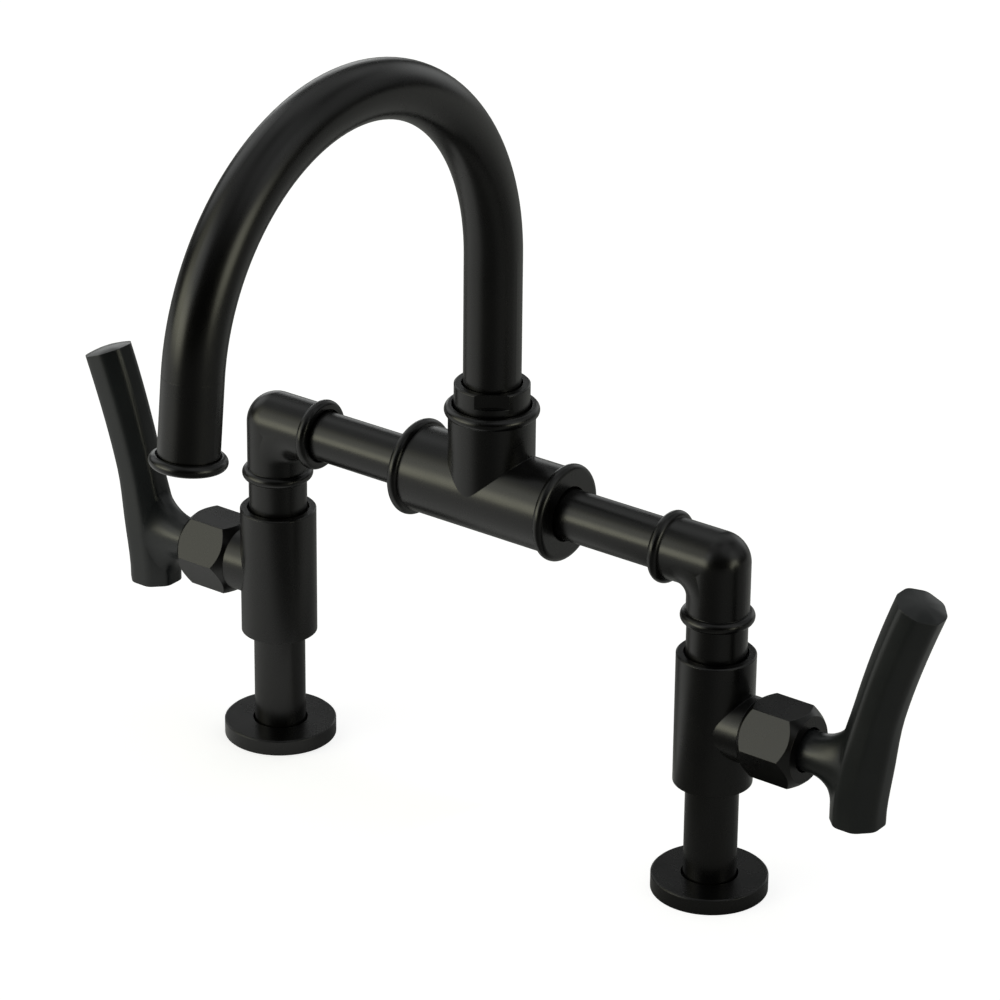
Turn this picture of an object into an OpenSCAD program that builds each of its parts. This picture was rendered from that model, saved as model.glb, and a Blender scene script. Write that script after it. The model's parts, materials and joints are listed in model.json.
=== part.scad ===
// Bridge faucet for a basin with two holes: two quarter-turn valves on legs, joined by a pipe
// bridge whose tee carries a swivelling gooseneck spout. Lever handles sit on the outer ends.
// Millimetres. +Z is up, +X runs along the bridge, and the spout points along -Y.
// The origin is midway between the two legs, on the face of the deck.

/* [Layout] */
// Distance between the axes of the two legs
centers = 203.2; // [180:0.2:240]
// Height of the valve axis above the deck
valve_z = 69.8; // [66:0.1:74]
// Height of the axis of the bridge pipe above the deck
bridge_z = 132.5; // [130:0.5:150]

/* [Deck fixing] */
// Outer diameter of the deck flange
flange_d = 43.6; // [42:0.1:52]
// Thickness of the deck flange
flange_t = 6.2; // [5:0.1:9]
// Gap around the leg in the hole of the flange
flange_gap = 0.7; // [0.3:0.1:0.9]
// Thickness of the rubber seal under the flange
seal_t = 2; // [1:0.1:3]
// Thickness of the deck that the lock nut clamps
deck_t = 30; // [10:1:40]
// Length of threaded shank below the deck
shank_drop = 62; // [58:1:90]
// Diameter of the turned end of the shank, which the supply connects to
inlet_end_d = 18.2; // [17:0.1:18.4]
// Length of the turned end of the shank
inlet_end_len = 12; // [8:0.5:14]
// Outer diameter of the washers under the deck
washer_d = 40; // [36:0.5:50]
// Thickness of the rubber washer under the deck
rubber_washer_t = 3; // [1.5:0.1:4]
// Thickness of the metal washer under the deck
metal_washer_t = 1.6; // [1:0.1:3]
// Width across the flats of the lock nut
lock_nut_af = 32; // [28:0.5:36]
// Thickness of the lock nut
lock_nut_t = 9; // [6:0.5:11]

/* [Legs and valve bodies] */
// Outer diameter of the leg and its shank
leg_d = 19.9; // [18.5:0.1:20.5]
// Waterway through legs, pipes and fittings
pipe_bore = 12; // [9:0.1:12.4]
// Outer diameter of the upright valve body
body_d = 29.4; // [28.6:0.1:34]
// Distance from the valve axis down to the body's lower face
body_below = 25; // [23.6:0.1:27]
// Distance from the valve axis up to the body's upper face
body_above = 26.9; // [25.6:0.1:29]
// Depth to which the leg is screwed into the body
leg_socket = 9.2; // [7:0.1:9.5]
// Outer diameter of the branch that leads to the bonnet nut
branch_d = 25.2; // [24:0.1:25.6]
// Distance from the leg axis to the inner end of the bonnet nut
branch_reach = 17.9; // [17.2:0.1:22]

/* [Cartridges] */
// Outer diameter of the cartridge barrel
cartridge_d = 17; // [16.4:0.1:17.6]
// Distance from the leg axis to the seat, on the inner side
seat_back = 6; // [5:0.1:6.4]
// Thickness of the rubber seat seal
seat_seal_t = 1.5; // [1:0.1:2]
// Thickness of each ceramic disc
disc_t = 2.5; // [2:0.1:2.8]
// Diameter of the spindle
spindle_d = 8; // [6.6:0.1:8.4]
// Thickness of the spindle's foot, which drives the upper disc
spindle_foot_t = 3; // [2:0.1:3.5]
// Thickness of the cartridge flange that the bonnet nut clamps
cartridge_flange_t = 2; // [1.2:0.1:2.6]

/* [Bonnet nuts] */
// Width across the flats of the bonnet nut
bonnet_af = 27.5; // [26.4:0.1:30]
// Length of the bonnet nut
bonnet_len = 22.9; // [20:0.1:26]
// Length of the body's threaded spigot inside the bonnet nut
spigot_len = 8.6; // [6:0.1:9.5]
// Diameter of the thread between spigot and bonnet nut
spigot_d = 20.8; // [20.2:0.1:21.2]
// Diameter of the flat ring on each end of the nut, inside the chamfer
bonnet_face_d = 25.2; // [24.6:0.1:26]
// Length of the chamfer, measured at the corners of the hexagon
bonnet_chamfer = 3.6; // [1.5:0.1:5]

/* [Lever handles] */
// Diameter of the lever's neck
neck_d = 15.4; // [13.4:0.1:16]
// Distance from the leg axis to the axis of the lever's foot
lever_reach = 62.6; // [60:0.1:72]
// Distance from the valve axis down to the lower end of the lever
lever_tail = 23.8; // [21:0.2:34]
// Length of the lever above the valve axis, measured along its bent axis
lever_rise = 74.8; // [66:0.2:95]
// Angle at which the top of the lever leans outward
lever_lean = 21.8; // [8:0.2:25]
// Distance below the valve axis where the lever begins to lean
lever_lean_below = 18; // [8:0.2:20]
// How the lean grows: 1 is an even curve, and less is a quick bend that straightens
lever_curve = 0.55; // [0.2:0.05:1]
// Width across the flats of the lever at its lower end
lever_foot_w = 19.6; // [16:0.1:21]
// Width across the flats of the lever at the valve axis
lever_root_w = 20.3; // [19:0.1:23]
// Width across the flats of the lever at its waist
lever_waist_w = 18; // [15:0.1:20]
// Width across the flats of the lever at its top
lever_top_w = 18.5; // [15:0.1:21]
// Radius that rounds the eight long edges of the lever
lever_round = 4.5; // [1:0.1:6]
// Height of the dome on the top of the lever
lever_top_dome = 1.4; // [1:0.1:5]
// Height of the dome on the lower end of the lever
lever_foot_dome = 2.4; // [0.5:0.1:4]
// Radius of the blend from the neck into the lever
neck_blend = 9.5; // [6:0.1:11]
// Diameter of the set screw that holds the lever on its spindle
set_screw_d = 4; // [3:0.1:4.6]
// Distance from the outer end of the bonnet nut to the set screw
set_screw_out = 3.4; // [3:0.1:4.4]

/* [Bridge] */
// Outer diameter of the bridge pipes
bridge_d = 19.3; // [18.6:0.1:19.8]
// Outer diameter of the elbows
elbow_d = 23.2; // [22.8:0.1:26]
// Radius of the fillet in the elbow's inner corner
elbow_fillet = 1.9; // [1:0.1:2.4]
// Distance from the elbow's corner to each of its ends
elbow_leg = 23.2; // [22.6:0.1:27]
// Height of the rounded band on the ends of elbows and tee barrel
band_h = 2.05; // [1:0.05:3]
// Half the width of the rounded bands
band_half_w = 2.2; // [1.5:0.05:2.6]
// Outer diameter of the tailpiece between body and elbow
tailpiece_d = 22.4; // [21.6:0.1:23.2]
// Depth of the sockets in elbows and tee barrel
pipe_socket = 9; // [6.5:0.1:9.4]
// Width of the shadow gap around each pipe where it enters a fitting
shadow_gap = 0.8; // [0.4:0.1:0.9]
// Depth of the shadow gaps
shadow_depth = 3.2; // [1.5:0.1:3.6]

/* [Tee] */
// Outer diameter of the tee's barrel
tee_d = 32.9; // [32.2:0.1:36]
// Distance from the middle of the tee to each end of its barrel
tee_half_len = 35.5; // [33:0.1:42]
// Outer diameter of the tee's upright branch
tee_branch_d = 32.4; // [32:0.1:34]
// Distance from the bridge axis up to the top of the branch
tee_branch_rise = 34.6; // [34:0.1:38]
// Height of the rounded band at the top of the branch
branch_band_h = 1.5; // [0.8:0.05:2.2]

/* [Spout] */
// Outer diameter of the spout tube
spout_d = 21.5; // [20.8:0.1:21.8]
// Wall of the spout tube
spout_wall = 1.5; // [1.2:0.1:1.6]
// Height where the upright part of the spout passes into its arch
arch_z = 225.5; // [200:0.5:260]
// Radius of the arch, measured on the axis of the tube
arch_r = 84.2; // [60:0.2:110]
// Angle through which the arch turns
arch_angle = 174; // [160:0.5:180]
// Straight length of tube after the arch
spout_end_len = 27; // [22:0.5:60]
// Diameter of the swivel collar on the foot of the spout
collar_d = 25.2; // [24.4:0.1:25.6]
// Thickness of the swivel collar
collar_t = 2.6; // [1.6:0.1:2.8]

/* [Spout nut] */
// Outer diameter of the spout nut
spout_nut_d = 28.2; // [27.6:0.1:28.6]
// Height of the spout nut above the top of the tee
spout_nut_rise = 8.5; // [7:0.1:12]
// Width across the two wrench flats of the spout nut
spout_nut_af = 25.2; // [24.8:0.1:27]
// Height of the wrench flats
spout_nut_flat_h = 5.6; // [3:0.1:6]
// Width of the gap around the spout in the nut
spout_nut_gap = 0.6; // [0.3:0.1:0.8]
// Thickness of the nylon bush under the spout nut
bush_t = 2.3; // [1.5:0.1:2.5]

/* [Outlet] */
// Outer diameter of the ring on the tip of the spout
tip_ring_d = 27.1; // [26:0.1:30]
// Height of the ring on the tip of the spout
tip_ring_h = 4.4; // [4:0.1:8]
// Diameter of the outlet
outlet_d = 14.4; // [12:0.1:14.8]
// Number of jets in the outermost row of the outlet insert
outlet_jets = 12; // [8:1:14]

/* [Hidden] */

LEFT = -1;
RIGHT = 1;

// Clearance between pieces that stay put, and between pieces that move
fit_gap = 0.1;
run_gap = 0.3;
// How far a cutting shape reaches past the face that it opens
past = 1;
// Small bevel on turned edges
edge = 0.5;

// Section diameter of the rubber rings, and the groove that one lies in
ring_d = 1.8;
ring_groove_w = 2.4;
ring_proud = 0.05;
// Distance from the end of a pipe to the ring on it
ring_in = 3;

// Finish colours
finish = [0.10, 0.10, 0.10];
rubber = [0.05, 0.05, 0.05];
brass = [0.80, 0.66, 0.36];
steel = [0.72, 0.72, 0.72];
ceramic = [0.93, 0.92, 0.88];
nylon = [0.88, 0.88, 0.84];

// Heights
body_bottom_z = valve_z - body_below;
body_top_z = valve_z + body_above;
tee_top_z = bridge_z + tee_branch_rise;

// Radii that several pieces share
leg_r = leg_d / 2;
flange_recess_r = flange_d / 2 - 3;
bore_r = pipe_bore / 2;
body_r = body_d / 2;
bridge_r = bridge_d / 2;
elbow_r = elbow_d / 2;
tailpiece_r = tailpiece_d / 2;
elbow_bend_r = elbow_r + elbow_fillet;
spout_r = spout_d / 2;
tip_ring_r = tip_ring_d / 2;

// Stations along the valve axis, measured outward from the leg axis
seal_end = seat_seal_t - seat_back;
fixed_end = seal_end + disc_t;
disc_gap = 0.05;
turning_start = fixed_end + disc_gap;
turning_end = turning_start + disc_t;
foot_end = turning_end + spindle_foot_t;
guide_start = foot_end + run_gap;
spigot_end = branch_reach + spigot_len;
cartridge_end = spigot_end + cartridge_flange_t;
bonnet_end = branch_reach + bonnet_len;
nose_len = 3;
nose_end = cartridge_end + nose_len;
neck_start = nose_end + run_gap;
screw_at = bonnet_end + set_screw_out;
spindle_grip = 5;
spindle_end = screw_at + spindle_grip;

// Cartridge and spindle radii
cartridge_r = cartridge_d / 2;
disc_r = cartridge_r - 1.6;
spindle_r = spindle_d / 2;
spindle_flat = spindle_r - 0.8;
nose_r = neck_d / 2 - 0.4;
port_r = 1.7;
port_at = 3.6;

// Tailpiece and the socket for it in the top of the body
tailpiece_socket = 11;
tailpiece_floor_z = body_top_z - tailpiece_socket;
elbow_end_z = bridge_z - elbow_leg;
pipe_floor = elbow_leg - pipe_socket;
tailpiece_spigot_r = bridge_r;

// Swivel of the spout in the branch of the tee, from the floor of its socket upward
swivel_floor_z = bridge_z + 8.5;
swivel_ledge_z = swivel_floor_z + 8;
collar_top_z = swivel_ledge_z + collar_t;
bush_z = collar_top_z + fit_gap;
nut_thread_z = bush_z + bush_t;
nut_seat_z = tee_top_z - 6.6;
nut_top_z = tee_top_z + spout_nut_rise;
swivel_r = spout_r + run_gap;
thread_r = collar_d / 2 + run_gap + 0.2;
nut_recess_r = spout_nut_d / 2 + shadow_gap;
foot_bore_r = 7;
swivel_rings = [2.2, 5.8];

// Step and lap where the straight end of the spout joins its arch
seam_step = 0.02;
seam_lap = 0.5;

// Outlet, measured along the axis of the tube from the rim of the ring
tube_seat = 1.6;
lip_t = 1;
sleeve_len = 9;
gasket_t = 1.2;
spout_bore_r = spout_r - spout_wall;
sleeve_r = spout_bore_r - fit_gap;
sleeve_wall = 0.9;
insert_r = sleeve_r - sleeve_wall - fit_gap;

$fn = 96;

// Places children on one leg. They are drawn for the right leg and mirrored for the left.
module on_leg(side) {
    mirror([side < 0 ? 1 : 0, 0, 0])
        translate([centers / 2, 0, 0])
            children();
}

// Turns children so that their Z axis runs outward along the valve axis.
module on_valve_axis() {
    translate([0, 0, valve_z])
        rotate([0, 90, 0])
            children();
}

// Moves children to the end of the spout, with Z running out of the outlet.
module on_outlet() {
    translate([0, -arch_r, arch_z])
        rotate([arch_angle, 0, 0])
            translate([0, arch_r, spout_end_len])
                children();
}

// A cylinder between two heights on the Z axis.
module rod(r, from, to) {
    translate([0, 0, from])
        cylinder(r = r, h = to - from);
}

// A tube between two heights on the Z axis.
module pipe(r, bore, from, to) {
    difference() {
        rod(r, from, to);
        rod(bore, from - past, to + past);
    }
}

// A turned rod with a small bevel on its upper edge.
module bevelled_rod(r, from, to) {
    rod(r, from, to - edge);
    translate([0, 0, to - edge])
        cylinder(r1 = r, r2 = r - edge, h = edge);
}

// The rounded band near the end of a fitting, whose end face is at Z = 0 and faces up.
module band(r, h) {
    lift = band_half_w - h;
    rotate_extrude()
        intersection() {
            translate([r - lift, -band_half_w])
                circle(r = band_half_w);
            translate([0, -2 * band_half_w])
                square([r + h + past, 2 * band_half_w]);
        }
}

// A rubber ring that stands slightly proud of a shaft of radius r.
module rubber_ring(r) {
    rotate_extrude()
        translate([r + ring_proud - ring_d / 2, 0])
            circle(d = ring_d, $fn = 32);
}

// The groove for a rubber ring in a shaft of radius r.
module ring_groove(r) {
    translate([0, 0, -ring_groove_w / 2])
        difference() {
            cylinder(r = r + past, h = ring_groove_w);
            translate([0, 0, -past])
                cylinder(r = r - ring_d, h = ring_groove_w + 2 * past);
        }
}

// A hexagonal prism whose flats face up and down once it lies on the valve axis.
module hexagon(af, from, to) {
    translate([0, 0, from])
        rotate(30)
            cylinder(d = af / cos(30), h = to - from, $fn = 6);
}

// Deck fixing

module flange(side) {
    color(finish)
        on_leg(side)
            difference() {
                bevelled_rod(flange_d / 2, 0, flange_t);
                rod(leg_r + flange_gap, -past, flange_t + past);
                translate([0, 0, -past])
                    cylinder(r = flange_recess_r, h = seal_t + past);
            }
}

module flange_seal(side) {
    color(rubber)
        on_leg(side)
            pipe(flange_recess_r - fit_gap, leg_r + fit_gap, 0, seal_t);
}

module leg(side) {
    inlet_z = -shank_drop;
    shoulder_z = inlet_z + inlet_end_len;
    leg_top_z = body_bottom_z + leg_socket;
    color(finish)
        on_leg(side)
            difference() {
                union() {
                    rod(inlet_end_d / 2, inlet_z, shoulder_z + past);
                    rod(leg_r, shoulder_z, leg_top_z);
                }
                rod(bore_r, inlet_z - past, leg_top_z + past);
            }
}

module deck_rubber_washers() {
    color(rubber)
        for (side = [LEFT, RIGHT])
            on_leg(side)
                pipe(washer_d / 2, leg_r + fit_gap, -deck_t - rubber_washer_t, -deck_t);
}

module deck_metal_washers() {
    top = -deck_t - rubber_washer_t;
    color(steel)
        for (side = [LEFT, RIGHT])
            on_leg(side)
                pipe(washer_d / 2 - 1, leg_r + fit_gap, top - metal_washer_t, top);
}

module deck_lock_nuts() {
    top = -deck_t - rubber_washer_t - metal_washer_t;
    color(brass)
        for (side = [LEFT, RIGHT])
            on_leg(side)
                difference() {
                    intersection() {
                        hexagon(lock_nut_af, top - lock_nut_t, top);
                        translate([0, 0, top - lock_nut_t])
                            cylinder(h = lock_nut_t,
                                r1 = lock_nut_af / 2, r2 = lock_nut_af / 2 + lock_nut_t);
                    }
                    rod(leg_r + fit_gap, top - lock_nut_t - past, top + past);
                }
}

// Valve bodies and cartridges

module valve_body(side) {
    inlet_z = body_bottom_z + leg_socket;
    riser_r = 2.6;
    riser_at = seat_back + riser_r + 0.6;
    chamber_h = 3;
    cross_r = 1.1;
    cross_z = inlet_z + 1.6;
    way_up_r = bore_r - 1;
    color(finish)
        on_leg(side)
            difference() {
                union() {
                    bevelled_rod(body_r, body_bottom_z, body_top_z);
                    on_valve_axis() {
                        rod(branch_d / 2, 0, branch_reach);
                        rod(spigot_d / 2, 0, spigot_end);
                    }
                }
                // Socket for the leg, and the way from it to the seat
                rod(leg_r + fit_gap, body_bottom_z - past, inlet_z);
                rod(bore_r, inlet_z - past, inlet_z + chamber_h);
                translate([-riser_at, 0, 0])
                    rod(riser_r, inlet_z + 0.5, valve_z);
                translate([-riser_at, 0, cross_z])
                    rotate([0, 90, 0])
                        cylinder(r = cross_r, h = riser_at);
                // Bore for the cartridge, and the port in its seat
                on_valve_axis() {
                    rod(cartridge_r + fit_gap, -seat_back, spigot_end + past);
                    rod(riser_r, -riser_at, -seat_back + past);
                }
                // Way up to the tailpiece, its socket, and the shadow gap around it
                rod(way_up_r, valve_z + past, tailpiece_floor_z + past);
                rod(tailpiece_r + fit_gap, tailpiece_floor_z, body_top_z + past);
                rod(tailpiece_r + shadow_gap, body_top_z - shadow_depth, body_top_z + past);
            }
}

module seat_seal(side) {
    color(rubber)
        on_leg(side)
            on_valve_axis()
                pipe(disc_r - 0.3, 3, -seat_back, seal_end);
}

module cartridge(side) {
    window_r = 2.2;
    color(brass)
        on_leg(side)
            difference() {
                on_valve_axis() {
                    difference() {
                        union() {
                            rod(cartridge_r, seal_end, spigot_end);
                            rod(spigot_d / 2 - 0.4, spigot_end, cartridge_end);
                            rod(nose_r, cartridge_end, nose_end);
                        }
                        rod(disc_r + run_gap, seal_end - past, guide_start);
                        rod(spindle_r + run_gap, guide_start - past, nose_end + past);
                    }
                }
                // Windows through which the water leaves, above and below the discs
                translate([foot_end - window_r, 0, valve_z - cartridge_r - past])
                    cylinder(r = window_r, h = 2 * cartridge_r + 2 * past);
            }
}

// A ceramic disc with its two ports, between two stations on the valve axis.
module ceramic_disc(r, from, to) {
    difference() {
        rod(r, from, to);
        for (a = [0, 180])
            rotate(a)
                translate([port_at, 0, 0])
                    rod(port_r, from - past, to + past);
    }
}

module fixed_disc(side) {
    color(ceramic)
        on_leg(side)
            on_valve_axis()
                ceramic_disc(disc_r + run_gap - fit_gap, seal_end, fixed_end);
}

// The turning disc stands a quarter turn away from the fixed one when the lever is up.
module turning_disc(side) {
    color(ceramic)
        on_leg(side)
            on_valve_axis()
                rotate(90)
                    ceramic_disc(disc_r, turning_start, turning_end);
}

module spindle(side) {
    flat_start = bonnet_end - 2;
    color(brass)
        on_leg(side)
            on_valve_axis()
                difference() {
                    union() {
                        rod(disc_r, turning_end, foot_end);
                        rod(spindle_r, foot_end, spindle_end);
                    }
                    translate([0, 0, (guide_start + spigot_end) / 2])
                        ring_groove(spindle_r);
                    // Flat for the set screw, on the underside
                    translate([spindle_flat, -spindle_r - past, flat_start])
                        cube([spindle_r + past - spindle_flat, 2 * spindle_r + 2 * past,
                            spindle_end - flat_start + past]);
                }
}

module spindle_ring(side) {
    color(rubber)
        on_leg(side)
            on_valve_axis()
                translate([0, 0, (guide_start + spigot_end) / 2])
                    rubber_ring(spindle_r);
}

// The hexagonal bonnet nut, chamfered at both ends.
module bonnet_nut(side) {
    corner_r = bonnet_af / 2 / cos(30);
    color(finish)
        on_leg(side)
            on_valve_axis()
                difference() {
                    intersection() {
                        hexagon(bonnet_af, branch_reach, bonnet_end);
                        union() {
                            translate([0, 0, branch_reach])
                                cylinder(r1 = bonnet_face_d / 2, r2 = corner_r, h = bonnet_chamfer);
                            rod(corner_r, branch_reach + bonnet_chamfer, bonnet_end - bonnet_chamfer);
                            translate([0, 0, bonnet_end - bonnet_chamfer])
                                cylinder(r1 = corner_r, r2 = bonnet_face_d / 2, h = bonnet_chamfer);
                        }
                    }
                    rod(spigot_d / 2 + fit_gap, branch_reach - past, cartridge_end);
                    rod(neck_d / 2 + 0.8, cartridge_end - past, bonnet_end + past);
                }
}

// Lever handles

// Length of the lever, and the places of the bend and the waist along it
lever_len = lever_tail + lever_rise;
waist_rise = 27;
lean_from = lever_tail - lever_lean_below;
waist_at = lever_tail + waist_rise;

// The lean of the lever's axis at a distance s from its lower end: quick at first, then slow
function lean_at(s) =
    lever_lean * pow(max(0, s - lean_from) / (lever_len - lean_from), lever_curve);

// The axis as a chain of short links, each a [distance, outward, up]
link = lever_len / 80;
lever_axis = [for (s = 0, out = 0, up = 0; s < lever_len + link;
    out = out + link * sin(lean_at(s + link / 2)), up = up + link * cos(lean_at(s + link / 2)),
    s = s + link) [s, out, up]];
function out_at(s) = lookup(s, [for (p = lever_axis) [p[0], p[1]]]);
function up_at(s) = lookup(s, [for (p = lever_axis) [p[0], p[2]]]);

// Passes smoothly from a to b as t goes from 0 to 1
function ease(a, b, t) = a + (b - a) * (1 - cos(180 * t)) / 2;

// Width across the flats at a distance s along the lever
function lever_w(s) =
    s < lever_tail ? ease(lever_foot_w, lever_root_w, s / lever_tail) :
    s < waist_at ? ease(lever_root_w, lever_waist_w, (s - lever_tail) / (waist_at - lever_tail)) :
    ease(lever_waist_w, lever_top_w, (s - waist_at) / (lever_len - waist_at));

// Number of points on the arc that rounds each corner of the section
corner_points = 5;

// One point of the eight-sided section with rounded corners, drawn in to the share q
function lever_point(s, i, q) =
    let (
        corner = 22.5 + 45 * floor(i / corner_points),
        arc = corner + 45 * (i % corner_points / (corner_points - 1) - 0.5),
        middle = (lever_w(s) / 2 - lever_round) / cos(22.5),
        outward = q * (middle * cos(corner) + lever_round * cos(arc)),
        sideways = q * (middle * sin(corner) + lever_round * sin(arc)),
        lean = lean_at(s)
    )
    [out_at(s) + outward * cos(lean), sideways, up_at(s) - outward * sin(lean)];

// The bent eight-sided bar with its domed ends, from its lower end at Z = 0
module lever_bar() {
    around = 8 * corner_points;
    steps = 18;
    shares = [0.15, 0.4, 0.65, 0.85];
    straight = lever_len - lever_foot_dome - lever_top_dome;
    stations = concat(
        [for (q = shares) [lever_foot_dome * q * q, q]],
        [for (i = [0 : steps]) [lever_foot_dome + straight * i / steps, 1]],
        [for (k = [3 : -1 : 0]) [lever_len - lever_top_dome * pow(shares[k], 2), shares[k]]]);
    last = len(stations) - 1;
    points = [for (st = stations) for (i = [0 : around - 1]) lever_point(st[0], i, st[1])];
    walls = [for (r = [0 : last - 1]) for (i = [0 : around - 1])
        [around * r + i, around * (r + 1) + i,
            around * (r + 1) + (i + 1) % around, around * r + (i + 1) % around]];
    foot = [for (i = [0 : around - 1]) i];
    top = [for (i = [around - 1 : -1 : 0]) around * last + i];
    polyhedron(points = points, faces = concat([foot], walls, [top]));
}

// Depth of the section's inner side at a distance v from its middle plane: a flat, a rounded
// corner, a slanting flat and a second rounded corner
function inner_depth(h, v) =
    let (
        c = h - lever_round,
        near = c * tan(22.5),
        turn = lever_round * sin(45)
    )
    v < near ? h :
    v < near + turn ? c + sqrt(pow(lever_round, 2) - pow(v - near, 2)) :
    v < c + turn ? sqrt(2) * h - v :
    near + sqrt(max(0, pow(lever_round, 2) - pow(v - c, 2)));

// Place along the lever whose inner side lies at height w above the valve axis
function place_at(v, w, s, tries) =
    tries == 0 ? s :
    place_at(v, w, s + w + lever_tail - up_at(s)
        - inner_depth(lever_w(s) / 2, v) * sin(lean_at(s)), tries - 1);

// Distance from the leg axis to the bar's inner side
function inner_side(v, w) =
    let (s = place_at(v, w, lever_tail + w, 5))
    lever_reach + out_at(s) - inner_depth(lever_w(s) / 2, v) * cos(lean_at(s));

// The blend from the round neck into the bar. Its rings start on the neck and widen in a
// quarter of an ellipse, far up and down along the bar and only a little across it, and meet
// the bar's inner side without an edge.
module neck_flare() {
    sides = 40;
    rings = 10;
    side_w = lever_root_w / 2 - 0.4;
    along_w = neck_d / 2 + neck_blend;
    neck_r = neck_d / 2 - 0.02;
    start = lever_reach - lever_root_w / 2 - neck_blend;
    back_share = 0.8;
    function end_r(a) = 1 / sqrt(pow(sin(a) / side_w, 2) + pow(cos(a) / along_w, 2));
    function ring_pt(a, t) =
        let (
            r = end_r(a) - (end_r(a) - neck_r) * cos(90 * t),
            v = r * sin(a),
            w = r * cos(a)
        )
        [start + (inner_side(abs(v), w) - start) * sin(90 * t), v, w];
    function back_pt(a) = [lever_reach, back_share * end_r(a) * sin(a), back_share * end_r(a) * cos(a)];
    points = concat(
        [for (i = [0 : rings]) for (k = [0 : sides - 1]) ring_pt(360 * k / sides, i / rings)],
        [for (k = [0 : sides - 1]) back_pt(360 * k / sides)]);
    walls = [for (i = [0 : rings]) for (k = [0 : sides - 1])
        [sides * i + k, sides * i + (k + 1) % sides,
            sides * (i + 1) + (k + 1) % sides, sides * (i + 1) + k]];
    front = [for (k = [sides - 1 : -1 : 0]) k];
    back = [for (k = [0 : sides - 1]) sides * (rings + 1) + k];
    polyhedron(points = points, faces = concat([front], walls, [back]));
}

module handle(side) {
    color(finish)
        on_leg(side)
            difference() {
                union() {
                    translate([lever_reach, 0, valve_z - lever_tail])
                        lever_bar();
                    translate([0, 0, valve_z])
                        neck_flare();
                    on_valve_axis()
                        rod(neck_d / 2, neck_start, lever_reach - 3);
                }
                on_valve_axis()
                    rod(spindle_r + fit_gap, neck_start - past, spindle_end + 1);
                translate([screw_at, 0, valve_z - neck_d])
                    cylinder(r = set_screw_d / 2 + fit_gap, h = neck_d);
            }
}

// The headless set screw under the neck, sunk below its surface, with a hexagonal socket.
module set_screw(side) {
    top = neck_d / 2 - 0.6;
    socket_deep = 1.6;
    color(steel)
        on_leg(side)
            translate([screw_at, 0, valve_z])
                mirror([0, 0, 1])
                    difference() {
                        rod(set_screw_d / 2, spindle_flat + fit_gap, top);
                        translate([0, 0, top - socket_deep])
                            cylinder(d = set_screw_d / 2 / cos(30), h = socket_deep + past, $fn = 6);
                    }
}

// Bridge

module tailpiece(side) {
    color(finish)
        on_leg(side)
            difference() {
                union() {
                    rod(tailpiece_r, tailpiece_floor_z, elbow_end_z);
                    rod(tailpiece_spigot_r, elbow_end_z, bridge_z - pipe_floor);
                }
                rod(bore_r, tailpiece_floor_z - past, bridge_z);
                translate([0, 0, tailpiece_floor_z + ring_in])
                    ring_groove(tailpiece_r);
                translate([0, 0, elbow_end_z + pipe_socket / 2])
                    ring_groove(tailpiece_spigot_r);
            }
}

module tailpiece_rings() {
    color(rubber)
        for (side = [LEFT, RIGHT])
            on_leg(side) {
                translate([0, 0, tailpiece_floor_z + ring_in])
                    rubber_ring(tailpiece_r);
                translate([0, 0, elbow_end_z + pipe_socket / 2])
                    rubber_ring(tailpiece_spigot_r);
            }
}

// The bend of radius r, from straight down to inward along the bridge. It shapes the waterway
// and the inner corner; the outer corner is a ball.
module elbow_bend(r) {
    translate([-elbow_bend_r, 0, bridge_z - elbow_bend_r])
        rotate([90, 0, 0])
            rotate_extrude(angle = 90)
                translate([elbow_bend_r, 0])
                    circle(r = r);
}

// Turns children so that their Z axis runs from the elbow's corner toward the tee.
module toward_tee() {
    translate([0, 0, bridge_z])
        rotate([0, -90, 0])
            children();
}

module elbow(side) {
    color(finish)
        on_leg(side)
            difference() {
                union() {
                    elbow_bend(elbow_r);
                    rod(elbow_r, elbow_end_z, bridge_z);
                    toward_tee()
                        rod(elbow_r, 0, elbow_leg);
                    translate([0, 0, bridge_z])
                        sphere(r = elbow_r);
                    translate([0, 0, elbow_end_z])
                        mirror([0, 0, 1])
                            band(elbow_r, band_h);
                    toward_tee()
                        translate([0, 0, elbow_leg])
                            band(elbow_r, band_h);
                }
                elbow_bend(bore_r);
                rod(tailpiece_spigot_r + fit_gap, elbow_end_z - past, bridge_z - pipe_floor);
                rod(bore_r, bridge_z - pipe_floor - past, bridge_z - elbow_bend_r);
                toward_tee() {
                    rod(bore_r, elbow_bend_r, elbow_leg);
                    rod(bridge_r + fit_gap, pipe_floor, elbow_leg + past);
                    rod(bridge_r + shadow_gap, elbow_leg - shadow_depth, elbow_leg + past);
                }
            }
}

// Distance from a leg axis to the floor of the tee's socket, along the bridge
tee_floor = centers / 2 - tee_half_len + pipe_socket;

module bridge_pipe(side) {
    color(finish)
        on_leg(side)
            toward_tee()
                difference() {
                    pipe(bridge_r, bore_r, pipe_floor, tee_floor);
                    translate([0, 0, pipe_floor + ring_in])
                        ring_groove(bridge_r);
                    translate([0, 0, tee_floor - ring_in])
                        ring_groove(bridge_r);
                }
}

module bridge_pipe_rings() {
    color(rubber)
        for (side = [LEFT, RIGHT])
            on_leg(side)
                toward_tee()
                    for (at = [pipe_floor + ring_in, tee_floor - ring_in])
                        translate([0, 0, at])
                            rubber_ring(bridge_r);
}

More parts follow.
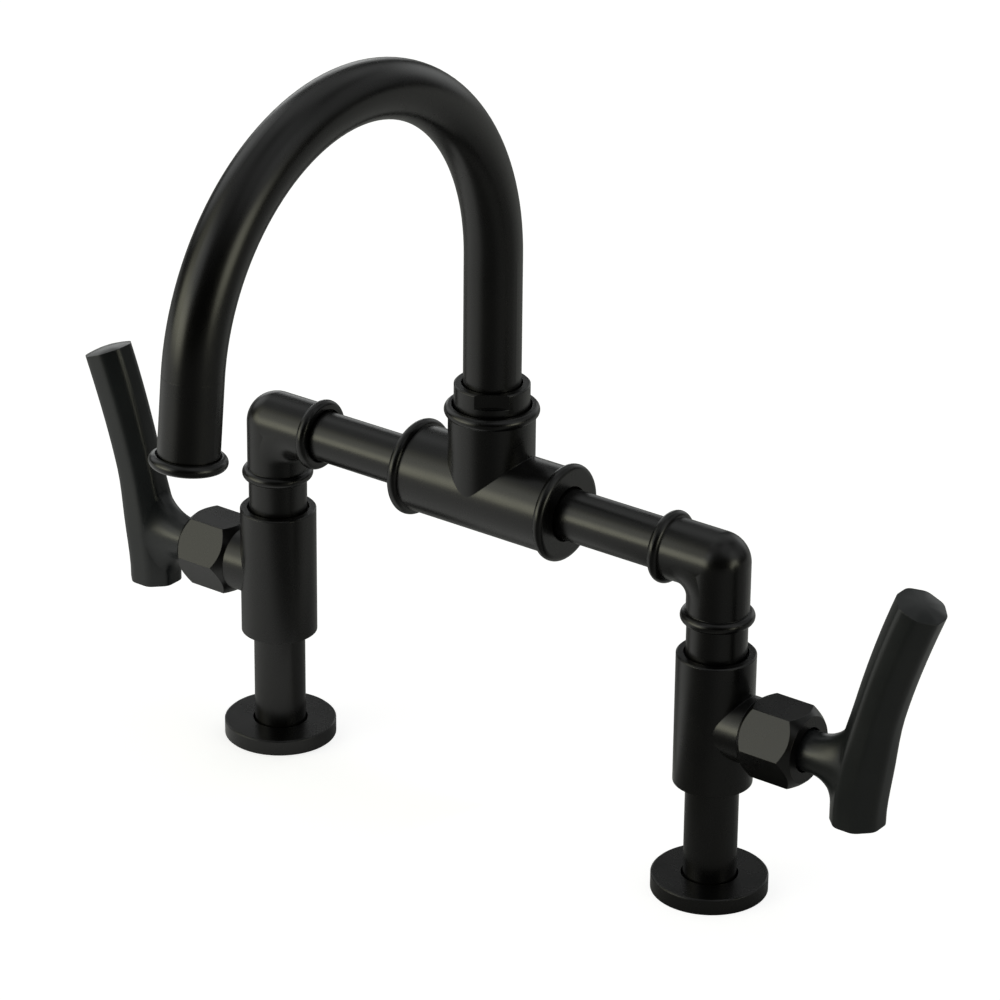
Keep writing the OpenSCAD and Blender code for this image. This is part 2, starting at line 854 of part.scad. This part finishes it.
module tee() {
    color(finish)
        difference() {
            union() {
                translate([-tee_half_len, 0, bridge_z])
                    rotate([0, 90, 0])
                        cylinder(r = tee_d / 2, h = 2 * tee_half_len);
                rod(tee_branch_d / 2, bridge_z, tee_top_z);
                translate([0, 0, tee_top_z])
                    band(tee_branch_d / 2, branch_band_h);
                for (turn = [90, -90])
                    translate([0, 0, bridge_z])
                        rotate([0, turn, 0])
                            translate([0, 0, tee_half_len])
                                band(tee_d / 2, band_h);
            }
            // Waterway and the two pipe sockets with their shadow gaps
            translate([0, 0, bridge_z])
                for (turn = [90, -90])
                    rotate([0, turn, 0]) {
                        rod(bore_r, -past, tee_half_len);
                        rod(bridge_r + fit_gap, tee_half_len - pipe_socket, tee_half_len + past);
                        rod(bridge_r + shadow_gap, tee_half_len - shadow_depth, tee_half_len + past);
                    }
            // Socket of the swivel, thread of the spout nut, and the shadow gap around it
            rod(bore_r, bridge_z, swivel_floor_z + past);
            rod(swivel_r, swivel_floor_z, tee_top_z);
            rod(thread_r, swivel_ledge_z, tee_top_z);
            rod(nut_recess_r, nut_seat_z, tee_top_z + past);
        }
}

// Spout

// The two wrench flats stand square to the bridge's diagonal, where a spanner reaches them.
module spout_nut() {
    flat_turn = 36;
    color(finish)
        difference() {
            union() {
                bevelled_rod(spout_nut_d / 2, nut_seat_z, nut_top_z);
                rod(thread_r - fit_gap, nut_thread_z, nut_seat_z + past);
            }
            rod(spout_r + spout_nut_gap, nut_thread_z - past, nut_top_z + past);
            rotate(flat_turn)
                for (s = [-1, 1])
                    translate([-spout_nut_d, s * spout_nut_af / 2 - (s < 0 ? spout_nut_d : 0),
                        nut_top_z - spout_nut_flat_h])
                        cube([2 * spout_nut_d, spout_nut_d, spout_nut_flat_h + past]);
        }
}

module spout_bush() {
    color(nylon)
        pipe(thread_r - fit_gap, spout_r + run_gap, bush_z, nut_thread_z);
}

// The axis of the spout as a solid of radius r, from a height on the Z axis to the outlet.
// The straight end laps the arch and is a hair wider, so that the seam is a clean step.
module spout_sweep(r, from, extra) {
    rod(r, from, arch_z);
    translate([0, -arch_r, arch_z])
        rotate([0, 0, 90])
            rotate([90, 0, 0])
                rotate_extrude(angle = arch_angle)
                    translate([arch_r, 0])
                        circle(r = r);
    on_outlet()
        rod(r + seam_step, -spout_end_len - seam_lap, extra);
}

module spout() {
    foot_z = swivel_floor_z + run_gap;
    foot_top_z = collar_top_z + 2;
    color(finish)
        difference() {
            union() {
                spout_sweep(spout_r, foot_z, tube_seat);
                rod(collar_d / 2, swivel_ledge_z + disc_gap, collar_top_z);
            }
            spout_sweep(spout_bore_r, foot_top_z, tube_seat + past);
            rod(foot_bore_r, foot_z - past, foot_top_z + past);
            for (at = swivel_rings)
                translate([0, 0, swivel_floor_z + at])
                    ring_groove(spout_r);
        }
}

module spout_rings() {
    color(rubber)
        for (at = swivel_rings)
            translate([0, 0, swivel_floor_z + at])
                rubber_ring(spout_r);
}

// The rounded ring on the tip. A threaded sleeve inside the tube carries it.
module outlet_ring() {
    round_r = tip_ring_h / 2;
    color(finish)
        on_outlet()
            difference() {
                union() {
                    rotate_extrude()
                        union() {
                            translate([tip_ring_r - round_r, round_r])
                                circle(r = round_r);
                            square([tip_ring_r - round_r, tip_ring_h]);
                        }
                    rod(sleeve_r, -sleeve_len, past);
                }
                difference() {
                    rod(spout_r + spout_nut_gap, -past, tube_seat);
                    rod(sleeve_r, -2 * past, tube_seat + past);
                }
                rod(insert_r + fit_gap, -sleeve_len - past, tip_ring_h - lip_t);
                rod(outlet_d / 2, 0, tip_ring_h + past);
            }
}

// The insert that smooths the jet: a disc with rings of small holes.
module outlet_insert() {
    jet_r = 0.8;
    jet_plate_t = 2;
    cup_wall = 1;
    top = -sleeve_len;
    bottom = tip_ring_h - lip_t;
    color(nylon)
        on_outlet()
            difference() {
                rod(insert_r, top, bottom);
                rod(insert_r - cup_wall, top - past, bottom - jet_plate_t);
                rod(jet_r, bottom - jet_plate_t - past, bottom + past);
                for (row = [1, 2])
                    for (k = [0 : outlet_jets * row / 2 - 1])
                        rotate(720 * k / outlet_jets / row)
                            translate([row * (outlet_d / 2 - 1.6) / 2, 0, 0])
                                rod(jet_r, bottom - jet_plate_t - past, bottom + past);
            }
}

module outlet_gasket() {
    color(rubber)
        on_outlet()
            pipe(sleeve_r, outlet_d / 2 - 0.4, -sleeve_len - gasket_t, -sleeve_len);
}

flange(LEFT);  // left_flange
flange(RIGHT);  // right_flange
flange_seal(LEFT);  // left_flange_seal
flange_seal(RIGHT);  // right_flange_seal
leg(LEFT);  // left_leg
leg(RIGHT);  // right_leg
deck_rubber_washers();
deck_metal_washers();
deck_lock_nuts();
valve_body(LEFT);  // left_valve_body
valve_body(RIGHT);  // right_valve_body
seat_seal(LEFT);  // left_seat_seal
seat_seal(RIGHT);  // right_seat_seal
cartridge(LEFT);  // left_cartridge
cartridge(RIGHT);  // right_cartridge
fixed_disc(LEFT);  // left_fixed_disc
fixed_disc(RIGHT);  // right_fixed_disc
turning_disc(LEFT);  // left_turning_disc
turning_disc(RIGHT);  // right_turning_disc
spindle(LEFT);  // left_spindle
spindle(RIGHT);  // right_spindle
spindle_ring(LEFT);  // left_spindle_ring
spindle_ring(RIGHT);  // right_spindle_ring
bonnet_nut(LEFT);  // left_bonnet_nut
bonnet_nut(RIGHT);  // right_bonnet_nut
handle(LEFT);  // left_handle
handle(RIGHT);  // right_handle
set_screw(LEFT);  // left_set_screw
set_screw(RIGHT);  // right_set_screw
tailpiece(LEFT);  // left_tailpiece
tailpiece(RIGHT);  // right_tailpiece
tailpiece_rings();
elbow(LEFT);  // left_elbow
elbow(RIGHT);  // right_elbow
bridge_pipe(LEFT);  // left_bridge_pipe
bridge_pipe(RIGHT);  // right_bridge_pipe
bridge_pipe_rings();
tee();
spout_nut();
spout_bush();
spout();
spout_rings();
outlet_ring();
outlet_insert();
outlet_gasket();
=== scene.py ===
import json
import math

import bpy
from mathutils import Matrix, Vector

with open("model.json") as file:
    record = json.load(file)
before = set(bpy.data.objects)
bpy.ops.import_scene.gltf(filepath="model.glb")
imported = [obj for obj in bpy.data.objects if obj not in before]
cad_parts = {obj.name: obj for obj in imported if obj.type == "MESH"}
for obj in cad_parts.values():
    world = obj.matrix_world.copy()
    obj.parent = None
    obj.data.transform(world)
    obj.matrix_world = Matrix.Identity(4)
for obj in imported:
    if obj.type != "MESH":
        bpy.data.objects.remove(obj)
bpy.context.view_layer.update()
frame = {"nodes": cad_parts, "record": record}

MM = 0.001
WHITE, BLACK = (1.0, 1.0, 1.0), (0.0, 0.0, 0.0)
scene = bpy.context.scene
nodes_of = frame["nodes"]


def toward(azimuth, elevation):
    """Unit vector from the object to a point at that azimuth and elevation, in degrees."""
    a, e = math.radians(azimuth), math.radians(elevation)
    return Vector((math.sin(a) * math.cos(e), -math.cos(a) * math.cos(e), math.sin(e)))


# The camera: the photograph's viewing angle, as one pinhole that fits its edges
CAMERA_AZIMUTH, CAMERA_ELEVATION, CAMERA_ROLL = 36.366, 24.854, 0.581
CAMERA_TARGET = Vector((4.066, 0.0, 129.227)) * MM
CAMERA_DISTANCE = 1725.58 * MM
FOCAL_PX, FRAME_PX, SENSOR_MM = 4681.74, 1000, 36.0
CLIP_NEAR, CLIP_FAR = 0.05, 60.0

cam_data = bpy.data.cameras.new("photo_camera")
cam_data.sensor_fit = "HORIZONTAL"
cam_data.sensor_width = SENSOR_MM
cam_data.lens = FOCAL_PX / FRAME_PX * SENSOR_MM
cam_data.clip_start, cam_data.clip_end = CLIP_NEAR, CLIP_FAR
cam = bpy.data.objects.new("photo_camera", cam_data)
scene.collection.objects.link(cam)
back = toward(CAMERA_AZIMUTH, CAMERA_ELEVATION)
cam.location = CAMERA_TARGET + back * CAMERA_DISTANCE
turn = (-back).to_track_quat("-Z", "Y").to_matrix()
roll = math.radians(CAMERA_ROLL)
right = turn.col[0] * math.cos(roll) + turn.col[1] * math.sin(roll)
upward = turn.col[1] * math.cos(roll) - turn.col[0] * math.sin(roll)
for row in range(3):
    turn[row][0], turn[row][1] = right[row], upward[row]
cam.rotation_mode = "QUATERNION"
cam.rotation_quaternion = turn.to_quaternion()
scene.camera = cam
scene.view_settings.view_transform = "Standard"


class Graph:
    """A short way to write node trees. Scales of noise are in cycles per metre."""

    def __init__(self, tree):
        self.tree = tree
        tree.nodes.clear()

    def put(self, socket, value):
        """Links another node's output to the socket, or sets its value."""
        if isinstance(value, bpy.types.NodeSocket):
            self.tree.links.new(value, socket)
        else:
            socket.default_value = value

    def add(self, kind, inputs=None, **props):
        n = self.tree.nodes.new(kind)
        for k, v in props.items():
            setattr(n, k, v)
        for k, v in (inputs or {}).items():
            self.put(n.inputs[k], v)
        return n

    def math(self, op, *values):
        return self.add("ShaderNodeMath", dict(enumerate(values)), operation=op).outputs[0]

    def vector_math(self, op, inputs):
        return self.add("ShaderNodeVectorMath", inputs, operation=op).outputs

    def dot(self, a, b):
        return self.vector_math("DOT_PRODUCT", {0: a, 1: b})["Value"]

    def noise(self, vector, scale, detail=2.0, rough=0.5):
        return self.add("ShaderNodeTexNoise", {"Vector": vector, "Scale": scale,
                        "Detail": detail, "Roughness": rough}).outputs["Fac"]

    def between(self, value, window, result, steps="LINEAR"):
        """The value's place in a window, moved to the same place in the result's range."""
        return self.add("ShaderNodeMapRange", {"Value": value,
                        "From Min": window[0], "From Max": window[1],
                        "To Min": result[0], "To Max": result[1]},
                        clamp=True, interpolation_type=steps).outputs["Result"]

    def blend(self, fac, a, b):
        """Colour a where fac is 0 and colour b where it is 1."""
        n = self.add("ShaderNodeMix", {"Factor": fac}, data_type="RGBA")
        for sock, v in ((n.inputs[6], a), (n.inputs[7], b)):
            self.put(sock, (*v, 1.0) if isinstance(v, tuple) else v)
        return n.outputs[2]

    def shade(self, value, window, a, b):
        """Colour a up to the lower end of the window, and colour b from its upper end on."""
        return self.blend(self.between(value, window, (0.0, 1.0)), a, b)

    def bump(self, height, strength, depth, **normal):
        return self.add("ShaderNodeBump", {"Height": height, "Strength": strength,
                                           "Distance": depth, **normal}).outputs[0]


def new_material(name):
    """A material, its graph, and the object's own coordinates in that graph."""
    m = bpy.data.materials.new(name)
    m.use_nodes = True
    g = Graph(m.node_tree)
    return m, g, g.add("ShaderNodeTexCoord").outputs["Object"]


def surface(g, colour, roughness, normal, **fixed):
    """The Principled surface and the output. What is the same all over is set on its own socket."""
    s = g.add("ShaderNodeBsdfPrincipled", {"Base Color": colour, "Roughness": roughness,
                                           "Normal": normal, **fixed})
    g.add("ShaderNodeOutputMaterial", {"Surface": s.outputs[0]})


# How far the rounded normal turns from the true one, as 1 minus their dot product
EDGE_TURN = (0.02, 0.22)
EDGE_SAMPLES = 6


def edge_mask(g, radius):
    """0 on faces and 1 along edges, and the normal that rounds the edges."""
    rounded = g.add("ShaderNodeBevel", {"Radius": radius}, samples=EDGE_SAMPLES).outputs[0]
    true = g.add("ShaderNodeNewGeometry").outputs["Normal"]
    turned = g.math("SUBTRACT", 1.0, g.dot(rounded, true))
    return g.between(turned, EDGE_TURN, (0.0, 1.0)), rounded


# Satin black coating: the colour of its rubbed edges, which is partly wear and partly a painted
# highlight along the edges, its share, and the step by which drift and marks raise its roughness
# and rubbing lowers it
RUBBED_EDGE_HIGHLIGHT_COLOUR, RUBBED_HIGHLIGHT_SHARE = (0.010, 0.0097, 0.009), 0.5
ROUGHNESS_STEP = 0.05


def satin_black(name, low, high, smoothest):
    """Satin black coating: fine grain, slow drift of sheen, faint handling marks, rubbed edges
    that are lighter in colour, partly as wear and partly as a painted highlight along the edges.
    Its colour drifts from low to high, and smoothest is its roughness without marks."""
    m, g, at = new_material(name)
    edge, rounded = edge_mask(g, 0.35 * MM)
    grain = g.noise(at, 2600.0, detail=3.0, rough=0.6)
    cloud = g.noise(at, 60.0, detail=3.0, rough=0.55)
    marks = g.noise(at, 240.0, detail=4.0, rough=0.7)
    # Edge mask for rubbing: partly wear and partly a painted highlight along the edges; it also
    # polishes them
    rub_and_highlight = g.math("MULTIPLY", edge, g.between(marks, (0.35, 0.7), (0.2, 1.0)))
    base = g.shade(cloud, (0.3, 0.7), low, high)
    # The edges are painted lighter here: a painted highlight along the edges as well as wear
    base = g.blend(g.math("MULTIPLY", rub_and_highlight, RUBBED_HIGHLIGHT_SHARE), base, RUBBED_EDGE_HIGHLIGHT_COLOUR)
    rough = g.between(cloud, (0.25, 0.75), (smoothest, smoothest + ROUGHNESS_STEP))
    rough = g.math("ADD", rough, g.between(marks, (0.62, 0.8), (0.0, ROUGHNESS_STEP)))
    rough = g.math("SUBTRACT", rough, g.math("MULTIPLY", rub_and_highlight, ROUGHNESS_STEP))
    bump = g.bump(grain, strength=0.07, depth=0.01 * MM, Normal=rounded)
    surface(g, base, rough, bump, IOR=1.45)
    return m


def bare_brass():
    """Turned brass, dulled where it was handled, with fine lathe marks round its own axis."""
    clean, tarnished = (0.62, 0.43, 0.17), (0.40, 0.27, 0.12)
    m, g, at = new_material("turned_brass")
    dull = g.noise(at, 180.0, detail=4.0, rough=0.6)
    turned = g.add("ShaderNodeTexWave", {"Vector": at, "Scale": 420.0, "Distortion": 1.2,
                   "Detail": 2.0}, bands_direction="Z").outputs["Fac"]
    colour = g.shade(dull, (0.35, 0.7), clean, tarnished)
    rough = g.between(dull, (0.3, 0.7), (0.24, 0.42))
    surface(g, colour, rough, g.bump(turned, strength=0.2, depth=0.03 * MM), Metallic=1.0)
    return m


def bright_steel():
    """Stainless steel with fine scratches and cleaner edges."""
    clean, spotted = (0.56, 0.56, 0.55), (0.44, 0.44, 0.43)
    stretch, edge_polish = (900.0, 60.0, 300.0), 0.08
    m, g, at = new_material("stainless_steel")
    edge, rounded = edge_mask(g, 0.15 * MM)
    along = g.add("ShaderNodeMapping", {"Vector": at, "Scale": stretch}).outputs[0]
    scratch = g.noise(along, 3.0, detail=3.0)
    spots = g.noise(at, 300.0, detail=3.0)
    colour = g.shade(spots, (0.35, 0.7), clean, spotted)
    rough = g.between(scratch, (0.3, 0.7), (0.24, 0.40))
    rough = g.math("SUBTRACT", rough, g.math("MULTIPLY", edge, edge_polish))
    bump = g.bump(scratch, strength=0.15, depth=0.01 * MM, Normal=rounded)
    surface(g, colour, rough, bump, Metallic=1.0)
    return m


def black_rubber():
    """Moulded nitrile rubber with a dusty bloom."""
    clean, dusty = (0.016, 0.016, 0.017), (0.040, 0.039, 0.038)
    m, g, at = new_material("moulded_rubber")
    bloom = g.noise(at, 150.0, detail=4.0, rough=0.65)
    pits = g.noise(at, 3000.0)
    colour = g.shade(bloom, (0.4, 0.75), clean, dusty)
    rough = g.between(bloom, (0.3, 0.7), (0.62, 0.82))
    surface(g, colour, rough, g.bump(pits, strength=0.3, depth=0.03 * MM), IOR=1.5)
    return m


def fired_ceramic():
    """Lapped alumina disc: almost white, smooth, with a faint grain."""
    pale, grey = (0.80, 0.79, 0.75), (0.72, 0.71, 0.67)
    m, g, at = new_material("fired_alumina")
    speck = g.noise(at, 900.0, detail=3.0, rough=0.6)
    colour = g.shade(speck, (0.35, 0.65), pale, grey)
    rough = g.between(speck, (0.3, 0.7), (0.16, 0.26))
    surface(g, colour, rough, g.bump(speck, strength=0.05, depth=0.01 * MM), IOR=1.6)
    return m


def pale_nylon():
    """Moulded nylon or acetal with a slight mottle."""
    pale, grey = (0.66, 0.65, 0.61), (0.58, 0.57, 0.53)
    m, g, at = new_material("moulded_nylon")
    mottle = g.noise(at, 120.0, detail=3.0)
    grain = g.noise(at, 1800.0)
    colour = g.shade(mottle, (0.35, 0.65), pale, grey)
    rough = g.between(grain, (0.3, 0.7), (0.42, 0.54))
    surface(g, colour, rough, g.bump(grain, strength=0.12, depth=0.02 * MM), IOR=1.53)
    return m


FINISHES = {
    "black_finish": satin_black("satin_black", low=(0.0012, 0.0012, 0.0012),
                                high=(0.0024, 0.0023, 0.0022), smoothest=0.25),
    "brass": bare_brass(),
    "steel": bright_steel(),
    "rubber": black_rubber(),
    "ceramic": fired_ceramic(),
    "nylon": pale_nylon(),
}
slot_of = {s["node"]: s["material_slot"] for s in frame["record"]["subparts"]}
for name, obj in nodes_of.items():
    obj.data.materials.clear()
    obj.data.materials.append(FINISHES[slot_of[name]])

# The levers: corners nearer than the gap are one, and an edge that turns by more stays sharp
CORNER_GAP = 0.002 * MM
SHARP_TURN = math.radians(26)


def smooth_facets():
    """Geometry nodes that join the many faces of a curved solid and shade it smoothly,
    except over its sharp edges."""
    tree = bpy.data.node_groups.new("smooth_facets", "GeometryNodeTree")
    for way in ("INPUT", "OUTPUT"):
        tree.interface.new_socket("Geometry", in_out=way, socket_type="NodeSocketGeometry")
    new, link = tree.nodes.new, tree.links.new
    start, end = new("NodeGroupInput"), new("NodeGroupOutput")
    join = new("GeometryNodeMergeByDistance")
    join.inputs["Distance"].default_value = CORNER_GAP
    plain = new("GeometryNodeRemoveAttribute")
    plain.inputs["Name"].default_value = "custom_normal"
    soft, hard = new("GeometryNodeSetShadeSmooth"), new("GeometryNodeSetShadeSmooth")
    soft.domain, hard.domain = "FACE", "EDGE"
    hard.inputs["Shade Smooth"].default_value = False
    turned = new("FunctionNodeCompare")
    turned.data_type, turned.operation = "FLOAT", "GREATER_THAN"
    turned.inputs[1].default_value = SHARP_TURN
    link(new("GeometryNodeInputMeshEdgeAngle").outputs["Unsigned Angle"], turned.inputs[0])
    link(turned.outputs[0], hard.inputs["Selection"])
    chain = [start, join, plain, soft, hard, end]
    for a, b in zip(chain, chain[1:]):
        link(a.outputs[0], b.inputs[0])
    return tree


facets = smooth_facets()
lever_black = satin_black("lever_black", low=(0.0080, 0.0096, 0.0101),
                          high=(0.0104, 0.0121, 0.0126), smoothest=0.29)
for side in ("left", "right"):
    lever = nodes_of[side + "_handle"]
    lever.modifiers.new("smooth_facets", "NODES").node_group = facets
    lever.data.materials[0] = lever_black


def lobe(g, way, azimuth, elevation, size):
    """1 towards that azimuth and elevation, falling softly to 0 at size degrees from it."""
    rim = math.cos(math.radians(size))
    return g.between(g.dot(way, toward(azimuth, elevation)), (rim, 1.0), (0.0, 1.0), "SMOOTHSTEP")


def white_ray(g):
    """1 for what the camera sees itself or through something clear, and 0 for all other rays."""
    seen = g.add("ShaderNodeLightPath")
    return g.math("MAXIMUM", seen.outputs["Is Camera Ray"], seen.outputs["Is Transmission Ray"])


# The deck's paleness, as a share of white, drifts in soft clouds and changes towards three
# sides of the object as painted light and shade: a painted pool of light on the left, painted shade
# in front and painted light behind. Azimuth, elevation and size in degrees, and the change
DECK_WHITE = (1.0, 1.0, 0.99)
DECK_TONE, DECK_CLOUDS = (0.40, 0.44), 6.0
PAINTED_LIGHT_SIDE, PAINTED_LIGHT_TONE = (-50, 0, 50), 0.45
PAINTED_SHADE_AND_LIGHT_SIDES = {(20, 0, 45): -0.22, (150, 0, 35): 0.33}
# Light as a share of white: the painted glow that the paler side gives out itself, though it is
# no lamp, what falls on the deck from the whole studio, and what the camera sees of the deck
# without a shadow
PAINTED_GLOW_SHARE, DECK_LIGHT, DECK_SEEN = 0.26, 0.50, 1.04
# Half the deck's side in metres, far beyond the picture
DECK_HALF = 6.0


def deck_material():
    """The deck: a pale sheet, white to the camera, with the object's own shadow on it. To all other
    rays it shows painted light and shade: a paler, glowing patch on the left, painted shade in
    front and painted light behind.
    """
    m, g, at = new_material("pale_deck")
    way = g.vector_math("NORMALIZE", {0: at})[0]
    # Painted light: a patch on the left of the deck that is paler and glows though it is no lamp
    painted_light_patch = lobe(g, way, *PAINTED_LIGHT_SIDE)
    tone = g.between(g.noise(at, DECK_CLOUDS), (0.3, 0.7), DECK_TONE)
    tone = g.math("MULTIPLY_ADD", painted_light_patch, PAINTED_LIGHT_TONE, tone)
    # Painted shade in front of the object, and painted light behind it
    for side, change in PAINTED_SHADE_AND_LIGHT_SIDES.items():
        tone = g.math("MULTIPLY_ADD", lobe(g, way, *side), change, tone)
    plain = g.add("ShaderNodeBsdfDiffuse", {"Color": g.blend(tone, BLACK, DECK_WHITE)})
    # The painted glow of the patch on the left, which all rays see
    own = g.math("MULTIPLY", painted_light_patch, PAINTED_GLOW_SHARE)
    lift = g.math("SUBTRACT", DECK_SEEN, g.math("MULTIPLY", tone, DECK_LIGHT))
    lift = g.math("SUBTRACT", lift, own)
    strength = g.math("MULTIPLY_ADD", white_ray(g), lift, own)
    glow = g.add("ShaderNodeEmission", {"Color": (*WHITE, 1.0), "Strength": strength})
    both = g.add("ShaderNodeAddShader", {0: plain.outputs[0], 1: glow.outputs[0]})
    g.add("ShaderNodeOutputMaterial", {"Surface": both.outputs[0]})
    return m


deck_mesh = bpy.data.meshes.new("deck")
deck_mesh.from_pydata([(-DECK_HALF, -DECK_HALF, 0), (DECK_HALF, -DECK_HALF, 0),
                       (DECK_HALF, DECK_HALF, 0), (-DECK_HALF, DECK_HALF, 0)], [], [(0, 1, 2, 3)])
deck_mesh.materials.append(deck_material())
deck = bpy.data.objects.new("deck", deck_mesh)
scene.collection.objects.link(deck)

# The studio's soft lights stand in rings round the object. A ring has the elevation and the
# size of its lights in degrees, and each light its azimuth and its brightness.
LOW, LOW_WIDE, MIDDLE, CEILING, OVERHEAD = (5, 20), (5, 26), (28, 26), (58, 34), (90, 36)
WARM_TINT, PALE_TINT = (1.08, 1.07, 0.83), (0.99, 1.01, 1.00)
WARM_LIGHTS = [
    (LOW, {-50: 2.3, -26: 3.4}),                # key panel in two parts
    (MIDDLE, {-50: 0.9}),                       # panel above it
    (LOW, {90: 3.2}),                           # panel on the right
]
PALE_LIGHTS = [
    (MIDDLE, {-100: 1.0, -25: 1.1}),            # panels on the left and in front
    (LOW, {225: 1.5}),                          # wall behind, on the left
    (LOW_WIDE, {180: 0.7}),                     # wall behind
    (MIDDLE, {180: 0.4, 140: 0.4, 100: 0.6}),   # the same wall higher up, and round to the right
    (CEILING, {-90: 0.3, -30: 0.3, 30: 0.1}),   # its nearer half
    (CEILING, {90: 0.5, 150: 0.1, 210: 0.5}),   # its farther half
    (OVERHEAD, {0: 0.1}),
]


def studio():
    """Soft lights and pale walls round the object, and a white background for the camera."""
    world = bpy.data.worlds.new("studio")
    scene.world = world
    world.use_nodes = True
    g = Graph(world.node_tree)
    way = g.add("ShaderNodeTexCoord").outputs["Generated"]

    def total(rings, tint):
        light = 0.0
        for (elevation, size), panels in rings:
            for azimuth, brightness in panels.items():
                panel = lobe(g, way, azimuth, elevation, size)
                light = g.math("MULTIPLY_ADD", panel, brightness, light)
        return g.vector_math("SCALE", {0: tint, "Scale": light})[0]

    warm, pale = total(WARM_LIGHTS, WARM_TINT), total(PALE_LIGHTS, PALE_TINT)
    light = g.vector_math("ADD", {0: warm, 1: pale})[0]
    bg = g.add("ShaderNodeBackground", {"Color": g.blend(white_ray(g), light, WHITE)})
    g.add("ShaderNodeOutputWorld", {"Surface": bg.outputs[0]})


studio()
